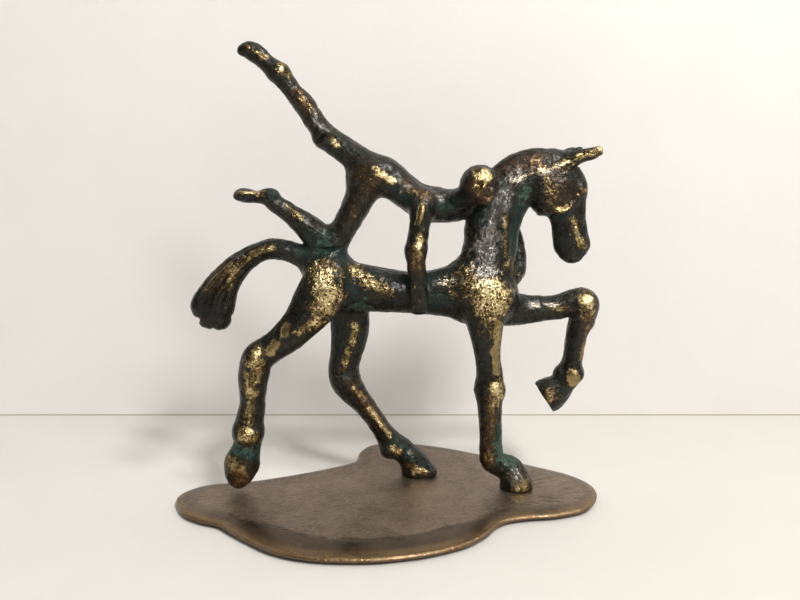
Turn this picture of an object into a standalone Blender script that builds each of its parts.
"""Cast bronze statuette of a horse with a vaulting acrobat, screwed to a free-form bronze display plinth.

The frame: +X is the way the horse walks, +Y runs from its right flank to its left flank, +Z is up.
The origin is under the middle of the plinth, on the face that rests on the table. Sizes are in millimetres.

A limb is a chain of stations (x, y, z, a, b): a is the half thickness in the XZ plane, b the half thickness
across it. A chain is lofted as elliptical rings, and cut square where two castings are brazed together.
"""
import math

import bmesh
import bpy
from mathutils import Vector

# ---------------------------------------------------------------- driving dimensions, mm
SIDES = 12              # corners of a limb's ring
RING_STEP = 8.0         # most distance between rings
GAP = 0.3               # brazing gap left between two castings
GROW = 0.35             # how far a casting is swollen before it trims the one that touches it

FELT_T = 1.2            # felt underlay
PLINTH_BOTTOM = 1.5     # underside of the bronze plinth
PLINTH_FLOOR = 6.0      # the flat on which the hooves stand
FELT_INSET = 4.0        # from the plinth's lower edge
# The plinth's edge is rolled over like a puddle's: how far in from the outline, and how high
PLINTH_EDGE = [(2.4, 1.5), (0.6, 2.0), (0, 3.0), (0.5, 4.0), (2.2, 4.9), (5.5, 5.6), (10.5, 6.0)]

DOWEL_R = 1.5           # brass locating dowels in the brazed joints
DOWEL_FIT = 0.25
SOLE = 6.3              # height of the standing hooves' soles
KNEE_JOINT = 157.15     # height of the acrobat's knee on the rump
SCREW_R = 2.0           # M4 countersunk screws, up through the plinth into the hooves
SCREW_HEAD_R = 4.0
SCREW_TOP = 16.0
SCREW_FIT = 0.3

RIGHT_FORE_SCREW = (80.5, 2.0)
LEFT_HIND_SCREW = (18.5, 24.0)

# The plinth's outline, anticlockwise seen from below, clockwise from above, starting at the left lobe.
OUTLINE = [
    (-130.5, -11), (-127, 1), (-115, 10.5), (-90, 16), (-65, 26), (-38, 40), (-22.5, 52.5), (-21, 69), (-13, 83), (5, 87.5),
    (35, 80), (65.5, 64), (99.5, 42.5), (122, 25.5), (131.5, 8.5), (130, -8.5), (119, -25), (100, -34), (83, -37), (70, -44),
    (62, -56), (50, -68), (35, -76), (17, -83.5), (-8, -87.5), (-38, -86), (-60, -79), (-77, -65.5), (-92, -51.5),
    (-108, -42), (-122, -32),
]

# ---------------------------------------------------------------- limb stations
BARREL = [
    (-36, 12, 138, 15.5, 13), (-23, 12, 134, 15, 13), (-7, 12, 131.5, 14, 12.5), (9, 12, 130, 13, 12.5),
    (24, 12, 129.5, 13.5, 12.5), (38, 12, 130, 16, 12.5), (51, 12, 129.5, 19.5, 13), (63, 12, 127, 18.5, 12.5),
    (71, 12, 127, 14, 11),
]
RUMP = [(-44, 12, 146.5, 10, 9.5), (-36, 12, 142, 14.5, 13)]
KNEE_SEAT = [(-34, 11.5, 148, 10, 9.5), (-35, 11, 153, 9.75, 9), (-35, 11, 158, 9.25, 8.5)]

# hip, haunch, (joint) thigh, stifle, hock, cannon, fetlock, pastern, hoof
HIND_RIGHT = [
    (-36, 5, 145, 12, 8.5), (-38.5, 1, 135, 14, 8.5), (-44.5, 0, 123.5, 14, 8.5), (-52.5, -1, 113, 11.25, 7.5),
    (-62.5, -2, 103, 9.75, 7.5), (-72, -3, 96.5, 9, 7.5), (-79, -3, 90.5, 9.5, 7.5), (-81.5, -3, 82.5, 9.5, 7.5),
    (-82.5, -3, 72.5, 8.5, 7.5), (-83, -3, 62.5, 7.75, 7.5), (-84.5, -3.5, 53.5, 8.5, 7.5), (-86, -4, 45.5, 9.5, 8),
    (-86.5, -4, 39, 8.25, 7.5), (-88, -4, 32.5, 9, 8), (-90.5, -4.5, 25, 11, 9), (-92.5, -4.5, 17.5, 9, 7.5),
    (-93, -4.5, 13, 5.25, 5),
]
HIND_LEFT = [
    (-29, 19, 134, 13, 8), (-26, 21, 121, 13.5, 8.5), (-24, 22, 110, 12.5, 8), (-25, 23, 97, 11.5, 8),
    (-27, 23, 86.5, 10, 7.75), (-28.5, 24, 76, 10, 7.5), (-26, 24, 67, 9.5, 7.5), (-18, 24, 56.5, 7.5, 6.5),
    (-10, 24, 46, 6.25, 6.5), (-3.5, 24, 36, 6.5, 6.5), (2, 24, 28, 8, 7.5), (8, 24, 23.5, 8, 7.5),
    (14, 24, 18, 7.5, 7.5),
]
HIND_LEFT_HOOF = [(12.5, 24, 21, 5.5, 6), (15.5, 24, 16.5, 8, 8), (18.5, 24, 11, 10, 9), (19.5, 24, 5, 10.5, 9.5), (19.5, 24, 0, 10.5, 9.5)]
FORE_RIGHT = [
    (58.5, 4, 133, 13, 8.5), (59.5, 2, 121, 12.75, 9), (60, 2, 110, 11, 8.5), (61, 2, 100, 9, 7.5),
    (62, 2, 89, 7.75, 7), (63, 2, 80, 8.25, 7.5), (63.5, 2, 70, 9, 8), (63.5, 2, 62, 8, 7.5), (64, 2, 52, 7.25, 7),
    (64.5, 2, 40, 7, 7), (65, 2, 30, 7.5, 7), (66, 2, 24, 7.5, 7.5), (70, 2, 21.5, 7.5, 7), (75, 2, 19.5, 7.5, 7),
]
FORE_RIGHT_HOOF = [(74, 2, 22, 5, 6), (77.5, 2, 18, 8, 8), (80.5, 2, 12, 9.5, 9.5), (81.5, 2, 5, 10.5, 10), (81.5, 2, 0, 10.5, 10)]
FORE_LEFT = [
    (60, 18, 124, 12, 9), (72, 20, 119, 12, 8.5), (84, 22, 117, 10, 8), (96.5, 22, 117.5, 8.25, 7), (108, 22, 118.5, 8, 7),
    (117, 22, 121, 8.75, 7.5), (123.5, 22, 120.5, 9.75, 8), (123.5, 22, 111, 8.5, 7.75), (121, 22, 103.5, 7.25, 7),
    (119.5, 22, 94, 6.5, 7), (118.5, 22, 85.5, 6.25, 7), (117, 22, 77.5, 7.25, 7), (115, 22, 71, 7.5, 7.5),
]
FORE_LEFT_HOOF = [(115, 22, 70, 6.5, 7), (110.5, 22, 65.5, 9, 8), (105, 22, 61.5, 11.5, 9), (101, 22, 59, 12.5, 9.5)]
TAIL = [
    (-43, 12, 147.5, 8, 8), (-52, 12, 152, 7.25, 7), (-60, 12, 155, 6.5, 6.5), (-69, 12, 156.5, 6.25, 6.25),
    (-77.5, 12, 155, 6.25, 6.25), (-86, 12, 150.5, 6.75, 6.25), (-93, 12, 145, 8, 6.75), (-99, 12, 138, 9.5, 7),
    (-104, 12, 130.5, 11.5, 7), (-107.5, 12, 122.5, 13, 7.5), (-107.5, 12, 116.5, 11.5, 6.5), (-104.5, 12, 112, 7.5, 5),
]
NECK = [
    (54, 12, 131, 19, 12.5), (60, 12, 145, 17.5, 11.5), (63, 12, 157, 16.75, 10.5), (64, 12, 169.5, 16.75, 10),
    (67, 12, 181.5, 17, 10), (73, 12, 192.5, 16.75, 9.5), (82, 12, 200.5, 15, 9), (92, 12, 203, 14.5, 9),
    (101, 12, 201.5, 15, 9),
]
SKULL = [
    (97, 12, 204, 10, 8), (104, 12, 197, 15, 9), (106.5, 12, 189, 14.5, 8.5), (109, 12, 181, 12.25, 7.5),
    (110.5, 12, 173, 10.75, 7), (112, 12, 164, 11, 7), (113, 12, 157.5, 10.5, 6.5), (112.5, 12, 153, 7.5, 5.5),
]
CHEEK = [(94, 12, 192.5, 11, 9.5), (98.5, 12, 190, 14.5, 10)]
EAR_RIGHT = [(108, 8, 210.5, 5, 3.25), (116, 6.5, 212.5, 4.5, 3), (121.5, 5.5, 214, 4, 2.5), (125.5, 5, 215.5, 3, 2)]
EAR_LEFT = [(106, 16, 211, 4, 3), (113, 17, 214.5, 3, 2.5), (117, 17.5, 217, 1.75, 1.75)]

TORSO = [
    (-15, 12.5, 200, 10.5, 10.5), (-6, 12, 201.5, 12, 11.5), (3, 12, 197.5, 11, 11), (11.5, 12, 191, 9.75, 11.5),
    (20.5, 12, 185.5, 10.25, 13), (30, 13, 183, 10.5, 12), (40, 14, 183, 10, 10), (50, 14, 184, 8.5, 8.5),
]
LEG_RAISED = [
    (-6, 13, 201, 9.5, 9.5), (-13.5, 14, 207, 9.5, 9.5), (-22.5, 15, 214, 8.25, 8.25), (-33, 16, 221.5, 7.5, 7.75),
    (-39.5, 16, 228, 6.75, 6.75), (-47.5, 16, 239.5, 6.25, 6.25), (-56, 16, 250.5, 5.5, 5.75), (-61.5, 16, 257.5, 6, 6),
    (-66, 16, 262, 6, 6), (-72.5, 16, 268, 5.25, 5.5), (-77.5, 16, 272.5, 5.75, 5.5), (-81.5, 16, 274.5, 5, 5), (-85.5, 16, 274.5, 3.5, 3.5),
]
THIGH_KNEELING = [
    (-9, 12, 200, 10.5, 10), (-14.5, 11.5, 192, 9.75, 9.5), (-18.5, 11, 184, 8.75, 9), (-23, 11, 175.5, 8, 8.25), (-28, 11, 167, 8, 8.25),
    (-32, 11, 161.5, 8.5, 8.75),
]
SHIN_KNEELING = [
    (-34, 11, 162, 8, 8), (-39, 11, 162.5, 9, 8.5), (-45.5, 10, 167.5, 8.5, 8), (-52, 9, 173.5, 7.25, 7.5), (-59.5, 9, 179, 6, 6), (-67, 8, 184.5, 5.5, 5.5),
    (-72, 8, 188, 5, 5.5), (-78.5, 8, 188.5, 3.75, 4.75), (-85, 8, 189, 4, 4.75), (-89.5, 8, 189, 3, 4),
]
KNEE = [(-34.5, 11, 166, 7, 7.5), (-35, 11, 161, 8.75, 8.5), (-35, 11, 156, 9.25, 8.5)]
ARM_RIGHT = [
    (21, 6, 186, 8, 8), (20.5, 1, 180, 7.5, 7.5), (19.5, -1.5, 172.5, 6.25, 6.25), (18.5, -2.5, 164.5, 6.25, 6.25), (17.5, -3, 157, 6, 6),
    (17.5, -3, 149, 5.75, 5.75), (18.5, -3, 140, 5.75, 4.5), (19, -3.5, 130, 5.75, 3.5), (19.5, -3, 121, 5.75, 3),
]
ARM_LEFT = [
    (33, 20, 182.5, 7.5, 7.5), (44, 26, 181.5, 7, 7), (55, 30, 180, 6.25, 6.25), (65, 31, 177.5, 6, 6), (73.5, 30, 172.5, 5.75, 5.75), (79, 28.5, 165, 5.25, 5.25),
    (81.5, 27, 156, 5.25, 5), (82, 25, 148, 5.5, 5), (80.5, 20, 141.5, 6, 5.5), (77, 14, 138.5, 5, 4.5),
]
NECK_ACROBAT = [(38, 9, 185, 7, 7), (45, 3.5, 188, 7, 7), (49.5, 0.5, 190.5, 7.5, 7.5)]
HEAD_ACROBAT = [(51.5, -1.5, 194, 10, 9), (54.5, -3, 196, 12, 11), (56.5, -3.5, 198, 10.5, 9.5)]


# ---------------------------------------------------------------- helpers
def clear_scene():
    for obj in list(bpy.data.objects):
        bpy.data.objects.remove(obj)
    for mesh in list(bpy.data.meshes):
        bpy.data.meshes.remove(mesh)


def material(name, colour, roughness, metallic):
    mat = bpy.data.materials.new(name)
    mat.use_nodes = True
    bsdf = mat.node_tree.nodes["Principled BSDF"]
    bsdf.inputs["Base Color"].default_value = (*colour, 1)
    bsdf.inputs["Roughness"].default_value = roughness
    bsdf.inputs["Metallic"].default_value = metallic
    mat.diffuse_color = (*colour, 1)
    return mat


def spline(a, b, c, d, t):
    """Catmull-Rom between b and c."""
    return [
        0.5 * (2 * q + (r - p) * t + (2 * p - 5 * q + 4 * r - s) * t * t + (3 * q - p - 3 * r + s) * t ** 3)
        for p, q, r, s in zip(a, b, c, d)
    ]


def frames(chain, grow=0.0):
    """Rings along a chain: (centre, tangent, side, across, a, b, station)."""
    points = []
    for i in range(len(chain) - 1):
        before, after = chain[max(i - 1, 0)], chain[min(i + 2, len(chain) - 1)]
        here, there = chain[i], chain[i + 1]
        steps = max(1, math.ceil((Vector(there[:3]) - Vector(here[:3])).length / RING_STEP))
        for k in range(steps):
            points.append((spline(before, here, there, after, k / steps), i + k / steps))
    points.append((list(chain[-1]), float(len(chain) - 1)))
    rings = []
    for i, (p, station) in enumerate(points):
        q, r = points[max(i - 1, 0)][0], points[min(i + 1, len(points) - 1)][0]
        tangent = (Vector(r[:3]) - Vector(q[:3])).normalized()
        across = Vector((0, 1, 0))
        across = (across - tangent * across.dot(tangent)).normalized()
        side = across.cross(tangent)
        rings.append((Vector(p[:3]), tangent, side, across, p[3] + grow, p[4] + grow, station))
    return rings


def loft(rings, start="dome", end="dome"):
    """One closed mesh through the rings. A dome rounds an end over, and a flat end is a butt joint."""
    bm = bmesh.new()

    def ring(centre, side, across, a, b):
        made = []
        for k in range(SIDES):
            angle = 2 * math.pi * (k + 0.5) / SIDES
            made.append(bm.verts.new((centre + side * a * math.cos(angle) + across * b * math.sin(angle)) * 0.001))
        return made

    loops = []
    c, t, s, x, a, b, _ = rings[0]
    reach = min(a, b)
    first = None
    if start == "dome":
        first = bm.verts.new((c - t * reach * 0.95) * 0.001)
        loops.append(ring(c - t * reach * 0.8, s, x, a * 0.55, b * 0.55))
        loops.append(ring(c - t * reach * 0.45, s, x, a * 0.87, b * 0.87))
    for i, (c, t, s, x, a, b, _) in enumerate(rings):
        shift = Vector((0, 0, 0))
        if i == 0 and start == "flat":
            shift = t * GAP / 2
        if i == len(rings) - 1 and end == "flat":
            shift = -t * GAP / 2
        loops.append(ring(c + shift, s, x, a, b))
    c, t, s, x, a, b, _ = rings[-1]
    reach = min(a, b)
    last = None
    if end == "dome":
        loops.append(ring(c + t * reach * 0.45, s, x, a * 0.87, b * 0.87))
        loops.append(ring(c + t * reach * 0.8, s, x, a * 0.55, b * 0.55))
        last = bm.verts.new((c + t * reach * 0.95) * 0.001)
    for one, two in zip(loops, loops[1:]):
        for k in range(SIDES):
            bm.faces.new((one[k], one[(k + 1) % SIDES], two[(k + 1) % SIDES], two[k]))
    for loop, pole in ((loops[0], first), (loops[-1], last)):
        if pole is None:
            bm.faces.new(loop)
        else:
            for k in range(SIDES):
                bm.faces.new((loop[k], loop[(k + 1) % SIDES], pole))
    bmesh.ops.recalc_face_normals(bm, faces=bm.faces)
    mesh = bpy.data.meshes.new("loft")
    bm.to_mesh(mesh)
    bm.free()
    return mesh


def part_of(chain, first=None, last=None, start="dome", end="dome", grow=0.0):
    """The loft of a chain's stations first to last."""
    rings = frames(chain, grow)
    low = 0.0 if first is None else float(first)
    high = float(len(chain) - 1) if last is None else float(last)
    return loft([r for r in rings if low - 1e-6 <= r[6] <= high + 1e-6], start, end)


def add(name, mesh, mat=None):
    obj = bpy.data.objects.new(name, mesh)
    bpy.context.scene.collection.objects.link(obj)
    if mat is not None:
        mesh.materials.clear()
        mesh.materials.append(mat)
    return obj


def combine(obj, meshes, operation):
    """Applies one Boolean after another to obj's mesh."""
    for mesh in meshes:
        tool = add("tool", mesh)
        mod = obj.modifiers.new("b", "BOOLEAN")
        mod.operation, mod.object, mod.solver = operation, tool, "EXACT"
        bpy.context.view_layer.update()
        graph = bpy.context.evaluated_depsgraph_get()
        result = bpy.data.meshes.new_from_object(obj.evaluated_get(graph))
        obj.modifiers.clear()
        old, obj.data = obj.data, result
        bpy.data.objects.remove(tool)
        bpy.data.meshes.remove(old)
    return obj


def cylinder(centre, direction, radius, length, radius_end=None, sides=12):
    bm = bmesh.new()
    bmesh.ops.create_cone(bm, cap_ends=True, segments=sides, radius1=radius * 0.001,
                          radius2=(radius if radius_end is None else radius_end) * 0.001, depth=length * 0.001)
    turn = Vector(direction).normalized().to_track_quat("Z", "Y").to_matrix().to_4x4()
    bmesh.ops.transform(bm, matrix=turn, verts=bm.verts)
    bmesh.ops.translate(bm, vec=Vector(centre) * 0.001, verts=bm.verts)
    bmesh.ops.recalc_face_normals(bm, faces=bm.faces)
    mesh = bpy.data.meshes.new("cylinder")
    bm.to_mesh(mesh)
    bm.free()
    return mesh


def joint_at(chain, station):
    """Centre and direction of a chain's joint face."""
    for centre, tangent, _, _, _, _, at in frames(chain):
        if abs(at - station) < 1e-6:
            return centre, tangent
    raise ValueError(station)


def finish(obj, mat):
    obj.data.materials.clear()
    obj.data.materials.append(mat)
    for poly in obj.data.polygons:
        poly.material_index = 0
    obj.data.shade_smooth()
    obj.data.set_sharp_from_angle(angle=math.radians(42))
    return obj


def closed_curve(points, steps):
    made = []
    n = len(points)
    for i in range(n):
        for k in range(steps):
            made.append(spline(points[i - 1], points[i], points[(i + 1) % n], points[(i + 2) % n], k / steps))
    return made


def inset(curve, distance):
    """The curve moved inwards along its normals, which point to the right of a clockwise outline."""
    n = len(curve)
    made = []
    for i, (x, y) in enumerate(curve):
        (x0, y0), (x1, y1) = curve[i - 3], curve[(i + 3) % n]
        dx, dy = x1 - x0, y1 - y0
        size = math.hypot(dx, dy)
        made.append((x + dy / size * distance, y - dx / size * distance))
    return made


def stack(levels):
    """A closed mesh through level rings of equal count: [(curve, z), ...] from bottom to top."""
    bm = bmesh.new()
    loops = [[bm.verts.new((x * 0.001, y * 0.001, z * 0.001)) for x, y in curve] for curve, z in levels]
    n = len(loops[0])
    for one, two in zip(loops, loops[1:]):
        for k in range(n):
            bm.faces.new((one[k], one[(k + 1) % n], two[(k + 1) % n], two[k]))
    bm.faces.new(loops[0])
    bm.faces.new(loops[-1])
    bmesh.ops.recalc_face_normals(bm, faces=bm.faces)
    mesh = bpy.data.meshes.new("stack")
    bm.to_mesh(mesh)
    bm.free()
    return mesh



def block(low, high):
    x0, y0, x1, y1 = low[0], low[1], high[0], high[1]
    square = [(x0, y0), (x1, y0), (x1, y1), (x0, y1)]
    return stack([(square, low[2]), (square, high[2])])


# ---------------------------------------------------------------- the object
clear_scene()
BRONZE = material("patinated_bronze", (0.12, 0.10, 0.065), 0.42, 0.85)
BROWN = material("brown_bronze", (0.16, 0.11, 0.08), 0.38, 0.8)
FELT = material("felt", (0.03, 0.045, 0.035), 0.95, 0.0)
BRASS = material("brass", (0.62, 0.45, 0.18), 0.35, 1.0)
STEEL = material("steel", (0.45, 0.45, 0.46), 0.35, 1.0)

# Horse: the trunk casting with the stubs that its limbs are brazed to
trunk = add("horse_trunk", part_of(BARREL))
combine(trunk, [
    part_of(RUMP),
    part_of(HIND_RIGHT, last=3, end="flat"),
    part_of(HIND_LEFT, last=2, end="flat"),
    part_of(FORE_RIGHT, last=3, end="flat"),
    part_of(FORE_LEFT, last=2, end="flat"),
    part_of(TAIL, last=1, end="flat"),
    part_of(NECK, last=2, end="flat"),
    part_of(KNEE_SEAT, end="flat"),
], "UNION")

neck = add("horse_neck", part_of(NECK, first=2, last=7, start="flat", end="flat"))
head = add("horse_head", part_of(NECK, first=7, start="flat"))
combine(head, [part_of(SKULL), part_of(CHEEK), part_of(EAR_RIGHT), part_of(EAR_LEFT)], "UNION")
poll, forward = joint_at(NECK, 7)
combine(head, [cylinder(poll + forward * (GAP / 2 - 15), forward, 26, 30, sides=24)], "DIFFERENCE")

tail = add("horse_tail", part_of(TAIL, first=1, start="flat"))
hind_right = add("horse_hind_leg_right", part_of(HIND_RIGHT, first=3, start="flat"))
hind_left = add("horse_hind_leg_left", part_of(HIND_LEFT, first=2, start="flat"))
combine(hind_left, [part_of(HIND_LEFT_HOOF)], "UNION")
combine(hind_left, [block((-40, -20, -40), (60, 60, SOLE))], "DIFFERENCE")
fore_right = add("horse_foreleg_right", part_of(FORE_RIGHT, first=3, start="flat"))
combine(fore_right, [part_of(FORE_RIGHT_HOOF)], "UNION")
combine(fore_right, [block((40, -40, -40), (140, 60, SOLE))], "DIFFERENCE")
fore_left = add("horse_foreleg_left", part_of(FORE_LEFT, first=2, start="flat"))
combine(fore_left, [part_of(FORE_LEFT_HOOF, end="flat")], "UNION")

# Acrobat
torso = add("acrobat_torso", part_of(TORSO))
combine(torso, [
    part_of(LEG_RAISED, last=1, end="flat"),
    part_of(THIGH_KNEELING, last=1, end="flat"),
    part_of(ARM_RIGHT, last=1, end="flat"),
    part_of(ARM_LEFT, last=1, end="flat"),
    part_of(NECK_ACROBAT, last=1, end="flat"),
], "UNION")
leg_raised = add("acrobat_leg_left_raised", part_of(LEG_RAISED, first=1, start="flat"))
leg_kneeling = add("acrobat_leg_right_kneeling", part_of(THIGH_KNEELING, first=1, start="flat"))
combine(leg_kneeling, [part_of(SHIN_KNEELING), part_of(KNEE, end="flat")], "UNION")
arm_right = add("acrobat_arm_right", part_of(ARM_RIGHT, first=1, start="flat"))
arm_left = add("acrobat_arm_left", part_of(ARM_LEFT, first=1, start="flat"))
acrobat_head = add("acrobat_head", part_of(NECK_ACROBAT, first=1, start="flat"))
combine(acrobat_head, [part_of(HEAD_ACROBAT)], "UNION")

# Where castings touch away from a square joint, the later one is coped to the earlier one.
NECK_SWOLLEN = dict(chain=NECK, first=2, last=7, grow=GROW)
combine(torso, [part_of(**NECK_SWOLLEN)], "DIFFERENCE")
combine(acrobat_head, [part_of(**NECK_SWOLLEN), part_of(TORSO, grow=GROW)], "DIFFERENCE")
combine(arm_left, [
    part_of(**NECK_SWOLLEN), part_of(BARREL, grow=GROW), part_of(NECK, last=2, grow=GROW), part_of(TORSO, grow=GROW),
], "DIFFERENCE")
combine(arm_right, [part_of(BARREL, grow=GROW), part_of(TORSO, grow=GROW)], "DIFFERENCE")
combine(leg_raised, [part_of(TORSO, grow=GROW)], "DIFFERENCE")
combine(leg_kneeling, [part_of(TORSO, grow=GROW), block((-70, -20, 120), (10, 40, KNEE_JOINT + GAP / 2))], "DIFFERENCE")
combine(trunk, [block((-70, -20, KNEE_JOINT - GAP / 2), (10, 40, 190))], "DIFFERENCE")

# Brass dowels that line the castings up inside the brazed joints
DOWELS = [
    ("dowel_hind_leg_right", HIND_RIGHT, 3, 14, (trunk, hind_right)),
    ("dowel_hind_leg_left", HIND_LEFT, 2, 14, (trunk, hind_left)),
    ("dowel_foreleg_right", FORE_RIGHT, 3, 14, (trunk, fore_right)),
    ("dowel_foreleg_left", FORE_LEFT, 2, 14, (trunk, fore_left)),
    ("dowel_tail", TAIL, 1, 12, (trunk, tail)),
    ("dowel_neck", NECK, 2, 16, (trunk, neck)),
    ("dowel_head", NECK, 7, 12, (neck, head)),
    ("dowel_acrobat_leg_left", LEG_RAISED, 1, 10, (torso, leg_raised)),
    ("dowel_acrobat_leg_right", THIGH_KNEELING, 1, 10, (torso, leg_kneeling)),
    ("dowel_acrobat_arm_right", ARM_RIGHT, 1, 8, (torso, arm_right)),
    ("dowel_acrobat_arm_left", ARM_LEFT, 1, 8, (torso, arm_left)),
    ("dowel_acrobat_head", NECK_ACROBAT, 1, 8, (torso, acrobat_head)),
    ("dowel_acrobat_knee", KNEE, 2, 12, (trunk, leg_kneeling)),
]
dowels = []
for name, chain, station, length, owners in DOWELS:
    centre, direction = joint_at(chain, station)
    dowels.append(add(name, cylinder(centre, direction, DOWEL_R, length)))
    for owner in owners:
        combine(owner, [cylinder(centre, direction, DOWEL_R + DOWEL_FIT, length + 0.6)], "DIFFERENCE")

# Plinth: a cast plate, flat on top, with a rolled-over edge
outline = closed_curve(OUTLINE, 3)
plinth = add("plinth_plate", stack([(inset(outline, d), z) for d, z in PLINTH_EDGE]))
felt = add("plinth_felt_underlay", stack([
    (inset(outline, FELT_INSET), 0.0),
    (inset(outline, FELT_INSET), FELT_T),
]))

# Countersunk screws from the underside into the two standing hooves
screws = []
for name, (x, y), hoof in (
    ("screw_foreleg_right", RIGHT_FORE_SCREW, fore_right),
    ("screw_hind_leg_left", LEFT_HIND_SCREW, hind_left),
):
    low = PLINTH_BOTTOM + 0.1
    cone = SCREW_HEAD_R - SCREW_R
    screw = add(name, cylinder((x, y, (low + 1.5 + SCREW_TOP) / 2), (0, 0, 1), SCREW_R, SCREW_TOP - low - 1.5, sides=16))
    combine(screw, [cylinder((x, y, low + cone / 2), (0, 0, 1), SCREW_HEAD_R, cone, SCREW_R + 0.02, sides=16)], "UNION")
    slot = stack([([(x - 5, y - 0.5), (x + 5, y - 0.5), (x + 5, y + 0.5), (x - 5, y + 0.5)], low - 1),
                  ([(x - 5, y - 0.5), (x + 5, y - 0.5), (x + 5, y + 0.5), (x - 5, y + 0.5)], low + 0.9)])
    combine(screw, [slot], "DIFFERENCE")
    screws.append(screw)
    reach = SCREW_R + SCREW_FIT
    combine(plinth, [
        cylinder((x, y, low + cone / 2 - 0.5), (0, 0, 1), SCREW_HEAD_R + SCREW_FIT + 1.0, cone + 1.0, SCREW_R + SCREW_FIT, sides=16),
        cylinder((x, y, 5), (0, 0, 1), reach, 14, sides=16),
    ], "DIFFERENCE")
    combine(hoof, [cylinder((x, y, SCREW_TOP / 2 + 0.3), (0, 0, 1), reach, SCREW_TOP, sides=16)], "DIFFERENCE")

for obj in (trunk, neck, head, tail, hind_right, hind_left, fore_right, fore_left,
            torso, leg_raised, leg_kneeling, arm_right, arm_left, acrobat_head):
    finish(obj, BRONZE)
finish(plinth, BROWN)
finish(felt, FELT)
for obj in dowels:
    finish(obj, BRASS)
for obj in screws:
    finish(obj, STEEL)
